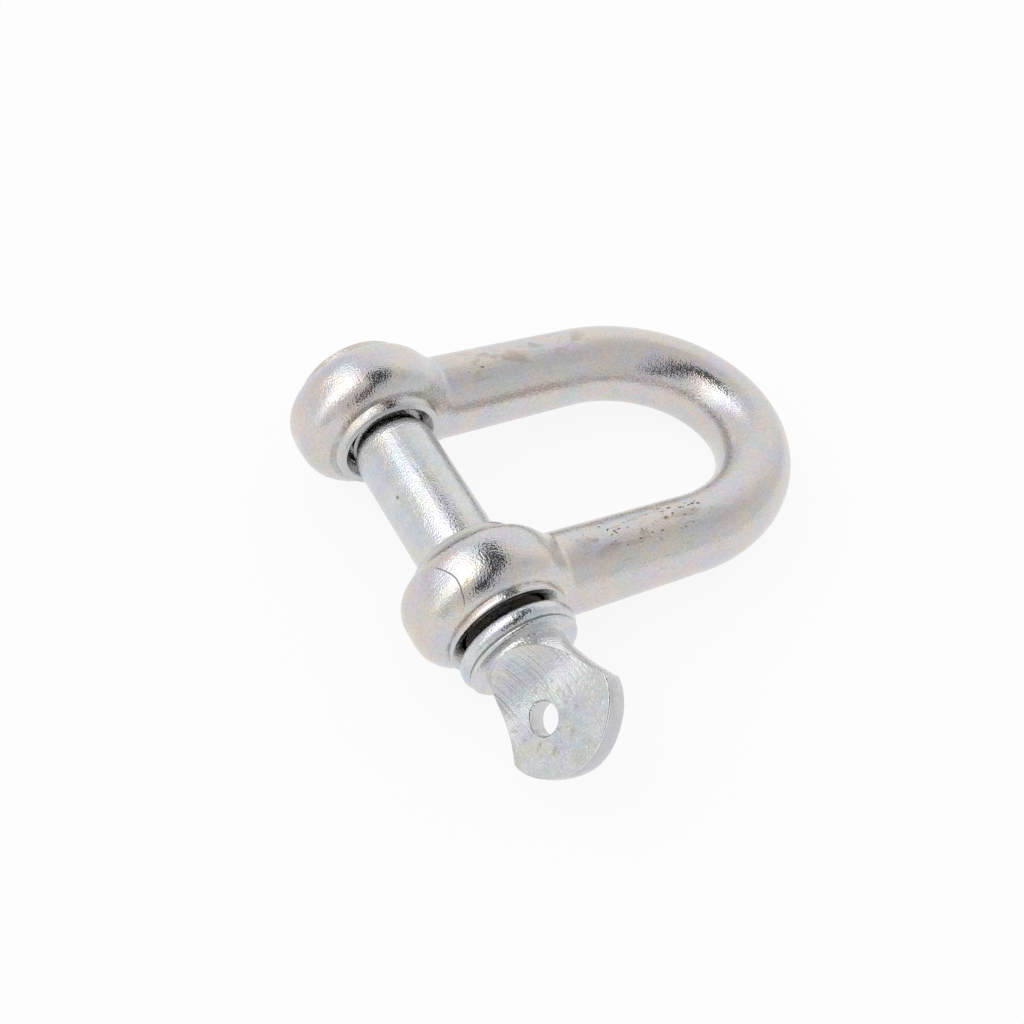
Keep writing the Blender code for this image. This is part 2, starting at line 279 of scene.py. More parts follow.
pin_low, pin_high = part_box("screw_pin")
pin_middle = (Vector(pin_low) + Vector(pin_high)) / 2
PIN_AXIS_AT = Vector((pin_middle.x, pin_low[1] - HEAD_TIP, pin_middle.z))
AS_IT_LIES = Matrix.Translation(PIN_AXIS_AT) @ Matrix.Rotation(LEAN, 4, "Y")
print("pin axis at", [round(value / MM, 3) for value in PIN_AXIS_AT], "mm, lean", math.degrees(LEAN))


# %% [markdown]
# ## Helpers for shapes
# What is forged or pressed is a loft here: a ring of points, extruded again and again along the
# piece. What is turned on a lathe is a profile spun about the pin's axis, then joined on or cut away.

# %% Helpers for lofts and finished pieces
JOIN = 0.000001


def first_ring(form, points):
    """Starts a tube with a circle of vertices, set to the given points."""
    ring = bmesh.ops.create_circle(form, segments=len(points), radius=EYE_HALF)["verts"]
    for corner, point in zip(ring, points):
        corner.co = point
    return ring


def next_ring(form, ring, points):
    """Extrudes the open end of a tube and moves the new ring to the given points, in order."""
    edges = [form.edges.get(pair) for pair in zip(ring, ring[1:] + ring[:1])]
    grown = bmesh.ops.extrude_edge_only(form, edges=edges)
    fresh = {item for item in grown["geom"] if isinstance(item, bmesh.types.BMVert)}
    after = []
    for corner, point in zip(ring, points):
        others = [edge.other_vert(corner) for edge in corner.link_edges]
        twin = next(other for other in others if other in fresh)
        twin.co = point
        after.append(twin)
    return after


def turned(profile, steps):
    """A closed solid turned about Y from (radius, along) points, the first and last on the axis."""
    form = bmesh.new()
    points = [form.verts.new((radius, along, 0.0)) for radius, along in profile]
    edges = [form.edges.new(pair) for pair in zip(points, points[1:])]
    bmesh.ops.spin(
        form, geom=points + edges, axis=(0, 1, 0), angle=2 * math.pi, steps=steps, use_merge=True
    )
    bmesh.ops.remove_doubles(form, verts=form.verts, dist=JOIN)
    bmesh.ops.recalc_face_normals(form, faces=form.faces)
    return form


def machine(piece, form, operation):
    """Cuts a form away from a piece, or joins it on, and drops the tool."""
    tool = as_object(form, "tool")
    step = piece.modifiers.new("machine", "BOOLEAN")
    step.operation = operation
    step.object = tool
    step.solver = "EXACT"
    depsgraph = bpy.context.evaluated_depsgraph_get()
    worked = bpy.data.meshes.new_from_object(piece.evaluated_get(depsgraph))
    piece.modifiers.clear()
    piece.data = worked
    bpy.data.objects.remove(tool)


# %% [markdown]
# ## The dee's bar and balls
# The dee starts as a round bar. Its ends are upset to balls in a die and the bar is bent round, so
# ball and leg flow into each other with a soft fillet. A loft follows that: a ring of points is
# extruded from the crown's middle, along the leg and over the ball, and each ring takes the larger
# of bar and ball, with a fillet where the two are alike.

# %% Work out the dee's sections
LEG_LENGTH = 46.3 * MM
CROWN_REACH = CROWN_CENTRE - LEG_LENGTH
CROWN_WIDTH = 15.1 * MM
LEG_WIDTH = 16.3 * MM
LEG_HEIGHT = 17.8 * MM
EYE_REACH = 16.0 * MM
EYE_SHOULDER = 3.2
BALL_SINK = 0.25 * MM
FORGED_FILLET = 3.2 * MM
BAR_TIP_START = 8.0 * MM
BAR_TIP_LENGTH = 12.0 * MM
BAR_SIDES = 96
CROWN_STATIONS = 64
LEG_STATIONS = 40
BLEND_STATIONS = 8
EYE_STATIONS = 84
HALVINGS = 30


def bar_reach(angle, half_width, half_height):
    """How far the oval bar reaches from its middle, in a direction from outward (0) to up (90)."""
    return 1 / math.hypot(math.cos(angle) / half_width, math.sin(angle) / half_height)


def ball_reach(x, angle):
    """How far the ball eye reaches from the leg's line at x, found by halving the interval."""
    along = EYE_RADIUS if x > 0 else EYE_REACH
    if abs(x) >= along:
        return 0.0
    low, high = 0.0, EYE_REACH
    for _ in range(HALVINGS):
        middle = (low + high) / 2
        round_way = math.hypot(x / along, middle * math.sin(angle) / EYE_RADIUS)
        flat_way = abs(middle * math.cos(angle)) / (EYE_HALF - BALL_SINK)
        inside = round_way ** EYE_SHOULDER + flat_way ** EYE_SHOULDER < 1
        low, high = (middle, high) if inside else (low, middle)
    return low


def leg_section(x, angle):
    """The reach of leg and ball together at x, from the crown's start to the end of the eye."""
    share = min(max(x / LEG_LENGTH, 0.0), 1.0)
    half_width = (LEG_WIDTH + (CROWN_WIDTH - LEG_WIDTH) * share) / 2
    half_height = (LEG_HEIGHT + (CROWN_HEIGHT - LEG_HEIGHT) * share) / 2
    past = max(BAR_TIP_START - x, 0.0) / BAR_TIP_LENGTH
    bar = bar_reach(angle, half_width, half_height) * math.sqrt(max(1 - past * past, 0.0))
    ball = ball_reach(x, angle)
    near = max(FORGED_FILLET - abs(bar - ball), 0.0) / FORGED_FILLET
    return max(bar, ball) + FORGED_FILLET * near * near / 4


def dee_ring(centre, outward, reach):
    """The points of one section: reach(angle) out from its centre, all the way round."""
    points = []
    for side in range(BAR_SIDES):
        angle = 2 * math.pi * side / BAR_SIDES
        length = reach(angle)
        rise = Vector((0, 0, length * math.sin(angle)))
        points.append(centre + outward * (length * math.cos(angle)) + rise)
    return points


print("dee sections:", CROWN_STATIONS + LEG_STATIONS + BLEND_STATIONS + EYE_STATIONS, "in each half")

# %% [markdown]
# ### One loft for half the dee
# The rings stand close together where the form turns quickly, and the last one closes in a point
# at the ball's end. The mirror operator makes the other half and joins both at the crown.


# %% Loft half the dee and mirror it
def dee_sections():
    """The rings of half the dee, from the crown's middle to the far end of the ball."""
    for station in range(CROWN_STATIONS):
        turn = math.pi / 2 * station / CROWN_STATIONS
        centre = Vector((LEG_LENGTH + CROWN_REACH * math.cos(turn), EYE_CENTRE * math.sin(turn), 0))
        outward = Vector((EYE_CENTRE * math.cos(turn), CROWN_REACH * math.sin(turn), 0)).normalized()
        yield dee_ring(centre, outward, lambda angle: bar_reach(angle, CROWN_WIDTH / 2, CROWN_HEIGHT / 2))
    leg_end = EYE_RADIUS + FORGED_FILLET
    stations = [LEG_LENGTH + (leg_end - LEG_LENGTH) * step / LEG_STATIONS for step in range(LEG_STATIONS)]
    stations += [leg_end - (leg_end - EYE_RADIUS) * step / BLEND_STATIONS for step in range(BLEND_STATIONS)]
    for station in range(EYE_STATIONS):
        turn = math.pi * station / EYE_STATIONS
        stations.append(math.cos(turn) * (EYE_RADIUS if turn < math.pi / 2 else EYE_REACH))
    for x in stations:
        yield dee_ring(Vector((x, EYE_CENTRE, 0)), Vector((0, 1, 0)), lambda angle: leg_section(x, angle))


form = bmesh.new()
ring = None
for points in dee_sections():
    ring = next_ring(form, ring, points) if ring else first_ring(form, points)
bmesh.ops.pointmerge(form, verts=ring, merge_co=(-EYE_REACH, EYE_CENTRE, 0))
whole = form.verts[:] + form.edges[:] + form.faces[:]
bmesh.ops.mirror(form, geom=whole, axis="Y", merge_dist=JOIN)
bmesh.ops.recalc_face_normals(form, faces=form.faces)
print("dee loft:", len(form.faces), "faces")
dee = as_object(form, "forged_dee")

# %% [markdown]
# ## Facing the eyes
# After forging, each ball is faced on both sides. That leaves a flat ring standing a little off the
# ball's outer side and a small coned boss on its inner side. Both come from one turned form, which
# is joined on to each ball. Its edges are rounded a little, so that they catch the light.

# %% Face both eyes
INNER_HALF = 8.7 * MM
OUTER_FACE_RADIUS = 11.6 * MM
INNER_FACE_RADIUS = 10.6 * MM
BOSS_ROOT_RADIUS = 11.1 * MM
FACE_STEP = 1.3 * MM
FACE_EDGE = 0.3 * MM
BOSS_EDGE = 0.15 * MM
TURNED_STEPS = 144


def arc(radius_at, along_at, radius, start, end, points=7):
    """Points (radius, along) on an arc of a turned profile, with its angles in degrees from +radius."""
    steps = [math.radians(start + (end - start) * i / (points - 1)) for i in range(points)]
    return [(radius_at + radius * math.cos(a), along_at + radius * math.sin(a)) for a in steps]


faced_pad = [
    (0, EYE_HALF),
    *arc(OUTER_FACE_RADIUS - FACE_EDGE, EYE_HALF - FACE_EDGE, FACE_EDGE, 90, 0),
    (OUTER_FACE_RADIUS, 0),
    (BOSS_ROOT_RADIUS, FACE_STEP - EYE_HALF),
    *arc(INNER_FACE_RADIUS - BOSS_EDGE, BOSS_EDGE - INNER_HALF, BOSS_EDGE, -20, -90, 5),
    (0, -INNER_HALF),
]


def for_eye(form, side):
    """Moves a turned form to the far eye (side 1), or turned about to the near eye (side -1)."""
    if side < 0:
        bmesh.ops.rotate(form, verts=form.verts, cent=(0, 0, 0), matrix=Matrix.Rotation(math.pi, 3, "X"))
    bmesh.ops.translate(form, verts=form.verts, vec=(0, side * EYE_CENTRE, 0))
    return form


for side in (1, -1):
    machine(dee, for_eye(turned(faced_pad, TURNED_STEPS), side), "UNION")
print("faced dee:", len(dee.data.polygons), "faces")

# %% [markdown]
# ## Boring the eyes
# Each eye is drilled through and countersunk on both sides. The eye near the pin's head is plain
# and has a wide mouth. The far one is bored to the inside of its thread.

# %% Bore the plain eye and the tapped eye
BORE_RADIUS = 8.5 * MM
TAPPED_RADIUS = 8.1 * MM
COUNTERSINK_RADIUS = 9.3 * MM
PLAIN_MOUTH_RADIUS = 10.4 * MM


def bore_profile(radius, outer_mouth):
    """A bore through one eye, with a 45 degree countersink on both of its faces."""
    out, back = outer_mouth - radius, COUNTERSINK_RADIUS - radius
    return [
        (0, EYE_HALF + out),
        (radius + 2 * out, EYE_HALF + out),
        (radius, EYE_HALF - out),
        (radius, back - INNER_HALF),
        (radius + 2 * back, -INNER_HALF - back),
        (0, -INNER_HALF - back),
    ]


plain_bore = turned(bore_profile(BORE_RADIUS, PLAIN_MOUTH_RADIUS), TURNED_STEPS)
tapped_bore = turned(bore_profile(TAPPED_RADIUS, COUNTERSINK_RADIUS), TURNED_STEPS)
machine(dee, for_eye(plain_bore, -1), "DIFFERENCE")
machine(dee, for_eye(tapped_bore, 1), "DIFFERENCE")
print("bored dee:", len(dee.data.polygons), "faces")

# %% [markdown]
# ## The threads
# A thread is one tooth swept along a helix. Here a row of teeth is spun once round the axis while
# it climbs by one pitch, so that each tooth's end meets its neighbour's start. The M16 thread
# climbs 2 mm a turn. The rod is trimmed flat at both ends with bisect_plane and capped.

# %% Sweep a threaded rod
PITCH = 2.0 * MM
# One tooth: how far along the pitch, and how high, both as shares
TOOTH = [(0.0, 0.0), (0.32, 0.0), (0.5, 1.0), (0.56, 1.0), (0.74, 0.0)]
THREAD_STEPS = 96
# Teeth beyond the rod's two ends, trimmed off afterwards
SPARE_TEETH = 2
LEAD_IN = 1.5


def threaded_rod(root, crest, start, end, limit=None):
    """A closed rod along Y with a helical thread; limit(along) is the most that its radius may be."""
    form = bmesh.new()
    teeth = math.ceil((end - start) / PITCH) + SPARE_TEETH
    points = []
    for tooth in range(teeth):
        for along, height in TOOTH:
            radius = root + (crest - root) * height
            level = start + (tooth - LEAD_IN + along) * PITCH
            points.append(form.verts.new((radius, level, 0.0)))
    edges = [form.edges.new(pair) for pair in zip(points, points[1:])]
    climb = Vector((0, PITCH / THREAD_STEPS, 0))
    bmesh.ops.spin(
        form, geom=points + edges, axis=(0, 1, 0), angle=2 * math.pi, dvec=climb, steps=THREAD_STEPS
    )
    bmesh.ops.remove_doubles(form, verts=form.verts, dist=JOIN)
    for level, way in ((start, -1), (end, 1)):
        everything = form.verts[:] + form.edges[:] + form.faces[:]
        bmesh.ops.bisect_plane(
            form, geom=everything, plane_co=(0, level, 0), plane_no=(0, way, 0), clear_outer=True
        )
        rim = [
            edge
            for edge in form.edges
            if edge.is_boundary and all(abs(corner.co.y - level) < JOIN for corner in edge.verts)
        ]
        bmesh.ops.edgeloop_fill(form, edges=rim)
    if limit:
        for corner in form.verts:
            radius = math.hypot(corner.co.x, corner.co.z)
            scale = min(limit(corner.co.y) / radius, 1.0)
            corner.co.x *= scale
            corner.co.z *= scale
    bmesh.ops.recalc_face_normals(form, faces=form.faces)
    return form


print("thread:", PITCH / MM, "mm a turn, in", THREAD_STEPS, "steps")

# %% [markdown]
# ### The tapped eye
# A tap cuts the thread into the bored eye, so a threaded rod is cut away from it. The bore's inner
# end stays plain, and the rod runs on past the outer face.

# %% Tap the far eye
TAP_ROOT = TAPPED_RADIUS - 0.05 * MM
TAP_CREST = 8.95 * MM
PLAIN_LEAD = 1.5 * MM
RUN_OFF = 0.4 * MM
TAP_START = EYE_CENTRE - INNER_HALF + PLAIN_LEAD
tap = threaded_rod(TAP_ROOT, TAP_CREST, TAP_START, OUTER_FACE + RUN_OFF)
machine(dee, tap, "DIFFERENCE")
print("tapped dee:", len(dee.data.polygons), "faces")

# %% [markdown]
# ## The screw pin
# The pin is turned from bar and its head is then pressed flat. It is lofted from the relief groove
# to the tip of the head. Each section is a circle with two flats, and a small radius where circle
# and flat meet. On the round parts the flats have no width and vanish. The lengths are the CAD
# model's, apart from the shoulder, which is a little fuller, as the photograph shows it.

# %% State the pin's measures
PIN_RADIUS = 8.05 * MM
SHANK_END = 12.6 * MM
SHOULDER_LENGTH = 2.1 * MM
SHOULDER_TAPER = 0.15 * MM
SHOULDER_EDGE = 0.5 * MM
RELIEF_RADIUS = 6.9 * MM
RELIEF_LENGTH = 1.2 * MM
COLLAR_FACE = -34.0 * MM
COLLAR_RADIUS = 11.4 * MM
BEAD_THICKNESS = 3.4 * MM
BEAD_EDGE = 1.5 * MM
LIP_RADIUS = 10.7 * MM
LIP_THICKNESS = 0.9 * MM
LIP_EDGE = 0.45 * MM
NECK_RADIUS = 7.9 * MM
NECK_LENGTH = 0.7 * MM
BEAD_END = COLLAR_FACE - BEAD_THICKNESS
LIP_END = BEAD_END - LIP_THICKNESS
FLARE_START = LIP_END - NECK_LENGTH
FLARE_LENGTH = 13.4 * MM
FLARE_POWER = 1.55
EAR_RADIUS = 12.3 * MM
EARS = FLARE_START - FLARE_LENGTH
TIP_LENGTH = EARS - HEAD_TIP
TIP_POWER = 1.72
WAIST = 2.0 * MM
TIP_HALF = 2.5 * MM
SCOOP_RADIUS = 11.5 * MM
THREAD_START = SHANK_END + SHOULDER_LENGTH + RELIEF_LENGTH
SCOOP_SWEEP = math.acos(1 - (NECK_RADIUS - WAIST) / SCOOP_RADIUS)
FLAT_START = FLARE_START - SCOOP_RADIUS * math.sin(SCOOP_SWEEP)
HEAD_TURN = math.radians(59.6)
HEAD_AXES = Matrix.Rotation(-HEAD_TURN, 3, "Y")
print("head from", FLARE_START / MM, "to", HEAD_TIP / MM, "mm, flat from", round(FLAT_START / MM, 2))

# %% [markdown]
# ### A circle with two flats
# Pressing turns the round blank into a spade, with a concave ramp down from the neck and flats that
# open a little towards the tip. Every section has the same number of points, so that the flats grow
# out of the round neck without a seam.

# %% Work out the pin's sections
EDGE_RADIUS = 0.35 * MM
SIDE_STEPS = 32
EDGE_STEPS = 5
FLAT_STEPS = 20


def half_thickness(along):
    """Half the head's thickness: a concave ramp from the neck, then flats that open a little."""
    if along >= FLAT_START:
        return WAIST + SCOOP_RADIUS - math.sqrt(max(SCOOP_RADIUS ** 2 - (along - FLAT_START) ** 2, 0.0))
    return WAIST + (TIP_HALF - WAIST) * (FLAT_START - along) / (FLAT_START - HEAD_TIP)


def pin_ring(radius, along, half=None):
    """The points of one section: a circle with two flats at +half and -half, and rounded edges."""
    half = min(half, radius) if half else radius
    blend = min(EDGE_RADIUS, radius / 2, half / 2)
    middle = math.sqrt(max((radius - blend) ** 2 - (half - blend) ** 2, 0.0))
    touch = math.atan2(half - blend, middle)
    quarter = []
    for step in range(SIDE_STEPS):
        angle = touch * step / SIDE_STEPS
        quarter.append((radius * math.cos(angle), radius * math.sin(angle)))
    for step in range(EDGE_STEPS):
        angle = touch + (math.pi / 2 - touch) * step / EDGE_STEPS
        quarter.append((middle + blend * math.cos(angle), half - blend + blend * math.sin(angle)))
    for step in range(FLAT_STEPS):
        quarter.append((middle * math.cos(math.pi / 2 * step / FLAT_STEPS), half))
    mirrored = [(-across, up) for across, up in [(0.0, half)] + quarter[:0:-1]]
    upper = quarter + mirrored
    lower = [(-across, -up) for across, up in upper]
    return [HEAD_AXES @ Vector((across, along, up)) for across, up in upper + lower]


print("pin sections:", len(pin_ring(PIN_RADIUS, 0.0)), "points each")

# %% [markdown]
# ### One loft for the pin
# The loft starts inside the thread, where the threaded rod will join it, and runs over the shank,
# the collar's bead and its lip to the tip of the head.

# %% Loft the pin from the relief groove to the head
RELIEF_OVERLAP = 2 * MM
SEAM = 0.1 * MM
COLLAR_ROOT = 0.3 * MM
LIP_ROOT = 0.35 * MM
HEAD_ROWS = 44
ROW_CROWDING = 1.6


def turned_sections():
    """(radius, along) of the shank, the collar's bead and its lip, as turned."""
    bead = COLLAR_RADIUS - BEAD_EDGE
    lip = LIP_RADIUS - LIP_EDGE
    shoulder = PIN_RADIUS - SHOULDER_TAPER - SHOULDER_EDGE
    return [
        (RELIEF_RADIUS, THREAD_START + RELIEF_OVERLAP),
        (RELIEF_RADIUS, SHANK_END + SHOULDER_LENGTH),
        *arc(shoulder, SHANK_END + SHOULDER_LENGTH - SHOULDER_EDGE, SHOULDER_EDGE, 90, 0, 8),
        (PIN_RADIUS - SHOULDER_TAPER / 10, SHANK_END + SEAM),
        (PIN_RADIUS, SHANK_END - SEAM),
        (PIN_RADIUS, COLLAR_FACE + COLLAR_ROOT),
        (PIN_RADIUS + COLLAR_ROOT, COLLAR_FACE),
        *arc(bead, COLLAR_FACE - BEAD_EDGE, BEAD_EDGE, 90, 0, 14),
        *arc(bead, BEAD_END + BEAD_EDGE, BEAD_EDGE, 0, -70, 12),
        *arc(lip, LIP_END + LIP_EDGE, LIP_EDGE, 40, -90, 12),
        (NECK_RADIUS + LIP_ROOT, LIP_END),
        (NECK_RADIUS + SEAM, LIP_END - SEAM),
    ]


def head_sections():
    """(radius, along) of the neck, the flare out to the ears and the round tip."""
    sections = []
    for row in range(HEAD_ROWS + 1):
        share = (row / HEAD_ROWS) ** ROW_CROWDING
        radius = NECK_RADIUS + (EAR_RADIUS - NECK_RADIUS) * share ** FLARE_POWER
        sections.append((radius, FLARE_START - FLARE_LENGTH * share))
    for row in range(1, HEAD_ROWS):
        turn = math.pi / 2 * row / HEAD_ROWS
        out = math.cos(turn) ** (2 / TIP_POWER)
        down = math.sin(turn) ** (2 / TIP_POWER)
        sections.append((EAR_RADIUS * out, EARS - TIP_LENGTH * down))
    return sections


form = bmesh.new()
ring = None
for radius, along in turned_sections():
    points = pin_ring(radius, along)
    ring = next_ring(form, ring, points) if ring else first_ring(form, points)
for radius, along in head_sections():
    ring = next_ring(form, ring, pin_ring(radius, along, half_thickness(along)))
bmesh.ops.pointmerge(form, verts=ring, merge_co=(0, HEAD_TIP, 0))
bmesh.ops.remove_doubles(form, verts=form.verts, dist=JOIN)
rim = [edge for edge in form.edges if edge.is_boundary]
bmesh.ops.edgeloop_fill(form, edges=rim)
bmesh.ops.recalc_face_normals(form, faces=form.faces)
print("pin loft:", len(form.faces), "faces")
pin = as_object(form, "screw_pin_body")

# %% [markdown]
# ### The pin's thread
# The threaded rod is joined on to the loft inside the relief groove. It is chamfered at its end, so
# that it finds the tapped eye, and it runs out into the groove. Its crests stay 0.3 mm inside the
# tapped eye, as the CAD model's cylinders do, so that the pin can slide out without touching.

# %% Join the thread on to the pin
CREST = 7.8 * MM
ROOT = 6.75 * MM
PIN_END = OUTER_FACE - 0.5 * MM
END_CHAMFER = 1.2 * MM
ROD_START = THREAD_START - 0.5 * MM
RUN_OUT_RADIUS = RELIEF_RADIUS - 0.1 * MM


def thread_limit(along):
    """The chamfer at the pin's end, and the run-out into the relief groove."""
    at_end = CREST - END_CHAMFER + (PIN_END - along)
    at_start = RUN_OUT_RADIUS + max(along - THREAD_START, 0.0)
    return min(at_end, at_start)


machine(pin, threaded_rod(ROOT, CREST, ROD_START, PIN_END, thread_limit), "UNION")
print("threaded pin:", len(pin.data.polygons), "faces")

# %% [markdown]
# ### The mousing hole
# A wire through this hole keeps the pin from unscrewing. It is drilled a little off the head's
# middle, with a small chamfer at both mouths. The drill is a turned form too, stood up by rotation.

# %% Drill the head
HOLE_RADIUS = 3.0 * MM
HOLE_BEFORE_TIP = 11.8 * MM
HOLE_OFFSET = 2.3 * MM
HOLE_AT = HEAD_AXES @ Vector((-HOLE_OFFSET, HEAD_TIP + HOLE_BEFORE_TIP, 0))
DRILL_STEPS = 72
hole_half = half_thickness(HEAD_TIP + HOLE_BEFORE_TIP)
hole_chamfer = 0.25 * MM
drill = turned(
    [
        (0, 2 * hole_half),
        (HOLE_RADIUS + hole_half, 2 * hole_half),
        (HOLE_RADIUS + hole_chamfer / 4, hole_half - hole_chamfer / 2),
        (HOLE_RADIUS, hole_half - 2 * hole_chamfer),
        (HOLE_RADIUS, 2 * hole_chamfer - hole_half),
        (HOLE_RADIUS + hole_chamfer / 4, hole_chamfer / 2 - hole_half),
        (HOLE_RADIUS + hole_half, -2 * hole_half),
        (0, -2 * hole_half),
    ],
    DRILL_STEPS,
)
drill_axes = HEAD_AXES @ Matrix.Rotation(math.pi / 2, 3, "X")
bmesh.ops.rotate(drill, verts=drill.verts, cent=(0, 0, 0), matrix=drill_axes)
bmesh.ops.translate(drill, verts=drill.verts, vec=HOLE_AT)
machine(pin, drill, "DIFFERENCE")
print("pin:", len(pin.data.polygons), "faces")

# %% [markdown]
# ## Zinc plating
# Plated zinc is bright but not a mirror: the plating grows as fine crystals, so reflections break
# into specks about a third of a millimetre wide where light meets dark. The clear passivation over
# it shows faint colours of thin film: lilac, straw, rose and blue-green. Each finish below starts
# from a grain that tilts the surface through a Bump node and from soft patches of those tints.
# All patterns are worked out from the object's own coordinates, so they stay with the metal.

# %% Helpers for the plating
def noise_at(tree, place, scale, detail=2.0, output=0):
    """A Noise Texture with scale cells in a metre."""
    inputs = {"Vector": place, "Scale": scale, "Detail": detail}
    return add_node(tree, "ShaderNodeTexNoise", inputs).outputs[output]


def shifted(tree, place, number):
    """The same place moved by a few decimetres, so that each pattern is a different one."""
    away = (0.31 * number, 0.17 * number, 0.23 * number)
    return add_node(tree, "ShaderNodeVectorMath", {0: place, 1: away}, operation="ADD").outputs[0]


def stretched(tree, place, scale):
    """The same place drawn out along the axes whose scale is small."""
    return add_node(tree, "ShaderNodeMapping", {"Vector": place, "Scale": scale}).outputs[0]


def own_axes(tree, place, turn):
    """Coordinates about the pin's axis, with Y along it; turn is the axes' turn about Y."""
    inputs = {"Vector": place, "Location": PIN_AXIS_AT, "Rotation": (0.0, turn, 0.0)}
    made = add_node(tree, "ShaderNodeMapping", inputs, vector_type="TEXTURE").outputs[0]
    return made, add_node(tree, "ShaderNodeSeparateXYZ", {0: made}).outputs


def combined(tree, operation, first, *others):
    """The running result of one Math operation over several values."""
    for other in others:
        first = calculate(tree, operation, first, other)
    return first


def times(tree, first, *others):
    """The product of several values."""
    return combined(tree, "MULTIPLY", first, *others)


def distance(tree, place, point):
    """How far a place is from a fixed point."""
    inputs = {0: place, 1: point}
    return add_node(tree, "ShaderNodeVectorMath", inputs, operation="DISTANCE").outputs["Value"]


def off(tree, value, middle):
    """How far a value is from the middle of a band, to either side."""
    return calculate(tree, "ABSOLUTE", calculate(tree, "SUBTRACT", value, middle))


def from_line(tree, first, second):
    """The distance from a line, out of the two coordinates that cross it."""
    squares = [times(tree, value, value) for value in (first, second)]
    return calculate(tree, "SQRT", calculate(tree, "ADD", *squares))


def window(tree, value, low, high, soft):
    """1 where value is between low and high, and 0 outside, with soft edges."""
    rising = fade(tree, value, low - soft, low + soft)
    return fade(tree, value, high - soft, high + soft, rising, 0.0)


# %% [markdown]
# ### Colour and relief
# Tints and flecks are laid over a colour one by one, and each bump over the one before.


# %% Helpers for colour and relief
def tinted(tree, place, color, tints, first=1):
    """A colour with soft patches of other colours: (tint, cells in a metre, strength) for each."""
    for number, (tint, scale, strength) in enumerate(tints, first):
        patches = noise_at(tree, shifted(tree, place, number), scale, 3.0)
        share = fade(tree, patches, 0.46, 0.66, 0.0, strength)
        color = blend_colors(tree, share, color, (*tint, 1.0))
    return color


def flecked(tree, place, color, fine, strength):
    """A colour broken up by coloured flecks and by finer grey ones."""
    flecks = noise_at(tree, shifted(tree, place, 7), FLECKS, 3.0, 1)
    color = blend_colors(tree, strength, color, flecks, "OVERLAY")
    grey = noise_at(tree, shifted(tree, place, 8), fine, 1.0)
    return blend_colors(tree, 2 * strength, color, grey, "OVERLAY")


def zinc(name):
    """A new metal material: its tree, its shader and the object's coordinates."""
    material = bpy.data.materials.new(name)
    material.use_nodes = True
    tree = material.node_tree
    shader = tree.nodes["Principled BSDF"]
    shader.inputs["Metallic"].default_value = 1.0
    return material, tree, shader, add_node(tree, "ShaderNodeTexCoord").outputs["Object"]


def raised(tree, height, distance, before=None):
    """A Bump node over a height field, added to an earlier bump if there is one."""
    inputs = {"Height": height, "Distance": distance, "Strength": 1.0}
    if before:
        inputs["Normal"] = before
    return add_node(tree, "ShaderNodeBump", inputs).outputs[0]


# Cells in a metre of the coloured flecks and of the crystal grain
FLECKS = 1100.0
GRAIN = 3100.0
# How far, in metres, each Bump node takes its pattern to stand off the metal
GRAIN_RELIEF = 0.000065
FORGED_WAVES = 0.00018
PIT_RELIEF = -0.00012
HEAD_WAVES = 0.0002
SHANK_RELIEF = 0.00005
RAMP_RELIEF = 0.0001
# How much rougher the metal is where it is marked
MARK_ROUGHNESS = 0.3
ROSE = (0.68, 0.58, 0.555)
LILAC = (0.6, 0.575, 0.665)
STRAW = (0.67, 0.63, 0.52)
SEA_GREEN = (0.54, 0.605, 0.585)
PALE_BLUE = (0.56, 0.61, 0.68)
# The dark colour of dirt and stains, used also for the painted shade in the bores, the plain eye and the
# thread
DIRT_AND_SHADE = (0.2, 0.175, 0.15, 1.0)
RUST = (0.42, 0.34, 0.29, 1.0)
print("grain:", round(1000 / GRAIN, 2), "mm a cell")

# %% [markdown]
# ### The forged dee
# The forging keeps the skin that the hammer and the die left, and its zinc is a little warmer than
# the pin's. Coordinates about the pin's axis say where a place is, and every mark is a mask of those.

# %% Tint the forged dee
FORGED_COLOR = (0.668, 0.603, 0.572, 1.0)

forged_zinc, tree, shader, place = zinc("forged_zinc_plate")
axes, (along_leg, across_dee, height) = own_axes(tree, place, LEAN)
from_eye = off(tree, calculate(tree, "ABSOLUTE", across_dee), EYE_CENTRE)
from_axis = from_line(tree, along_leg, height)

tints = [
    (ROSE, 110.0, 0.85),
    (LILAC, 150.0, 0.8),
    (STRAW, 190.0, 0.65),
    (SEA_GREEN, 170.0, 0.55),
    (PALE_BLUE, 240.0, 0.5),
]
color = tinted(tree, place, FORGED_COLOR, tints)
color = flecked(tree, place, color, 3000.0, 0.18)
print("forged tints:", len(tints))

# %% [markdown]
# #### The tops of the legs
# Scale that was beaten into the hot bar has left small pits, with rust stains round them and short
# hair lines along the leg. The pits are Voronoi cells of uneven size on slightly shaken coordinates.

# %% Mark the tops of the legs
PIT_CELLS = 1900.0

on_top = fade(tree, height, 5.6 * MM, 7.4 * MM)
near_line = fade(tree, from_eye, 2.0 * MM, 4.8 * MM, 1.0, 0.0)
on_leg = window(tree, along_leg, 17.0 * MM, 48.0 * MM, 3.0 * MM)
leg_top = times(tree, on_top, near_line, on_leg)
shake = noise_at(tree, place, 1600.0, 1.0, 1)
shake = add_node(tree, "ShaderNodeVectorMath", {0: shake, "Scale": 0.7 * MM}, operation="SCALE")
ragged = add_node(tree, "ShaderNodeVectorMath", {0: place, 1: shake.outputs[0]}, operation="ADD")
ragged = stretched(tree, ragged.outputs[0], (0.5, 1.0, 1.0))
pit_cells = add_node(tree, "ShaderNodeTexVoronoi", {"Vector": ragged, "Scale": PIT_CELLS}).outputs
cell_size = add_node(tree, "ShaderNodeSeparateXYZ", {0: pit_cells["Color"]}).outputs[0]
pit_reach = fade(tree, cell_size, 0.3, 1.0, 0.0, 0.5)
pit_depth = calculate(tree, "SUBTRACT", pit_reach, pit_cells["Distance"])
